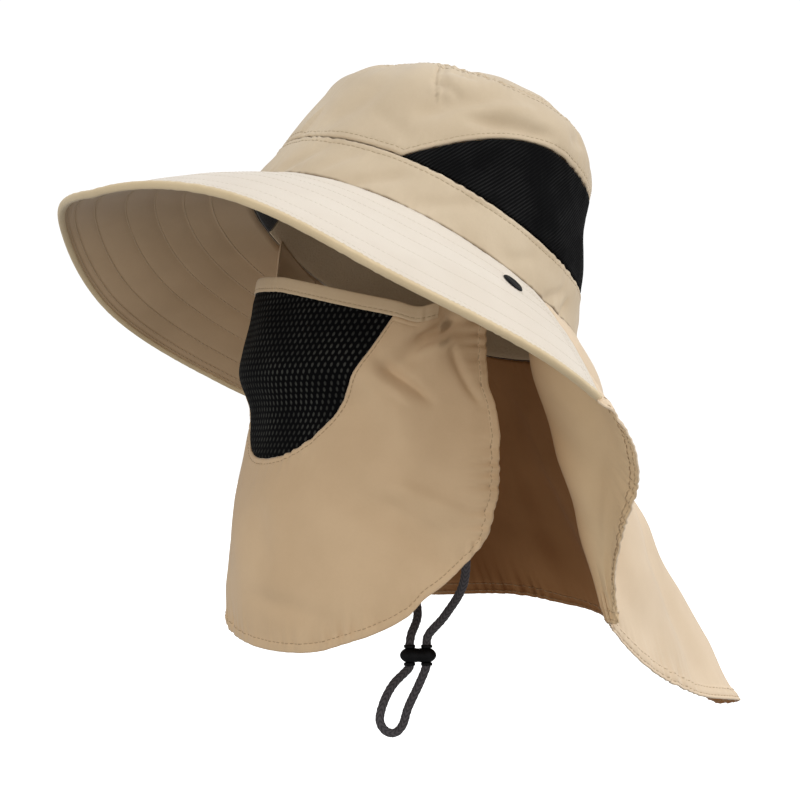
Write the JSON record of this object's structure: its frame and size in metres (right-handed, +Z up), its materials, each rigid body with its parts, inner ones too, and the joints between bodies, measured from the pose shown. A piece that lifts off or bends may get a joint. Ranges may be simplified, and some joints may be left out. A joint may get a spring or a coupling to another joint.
{
  "type": "flap sun hat",
  "caption": "Wide-brim sun hat with a hanging face mask, a neck flap, black mesh panels and a chin cord with a toggle.",
  "frame": {"origin": "centre of the head opening, where a head carries the hat", "axes": "+Z up, the hat faces -Y, the wearer's left is +X"},
  "size_m": [0.3336, 0.3884, 0.3607],
  "materials": {
    "khaki": "woven",
    "khaki_light": "woven",
    "khaki_shade": "woven",
    "black_mesh": "open mesh",
    "black_plastic": "matte",
    "cord": "braided"
  },
  "bodies": {
    "root": {"crown_band": "khaki", "crown_upper_panel": "khaki", "crown_mesh_panel": "black_mesh", "crown_tip": "khaki", "sweatband_front": "black_mesh", "sweatband_back": "khaki_shade", "brim": "khaki_light", "brim_binding": "khaki_light", "snap_cap_left": "black_plastic", "snap_cap_right": "black_plastic", "neck_flap": "khaki", "face_mask": "khaki_shade", "mask_mesh": "black_mesh", "mask_hem": "khaki_shade", "cord_left": "cord", "cord_right": "cord", "cord_loop": "cord", "cord_toggle": "black_plastic"}
  },
  "joints": []
}
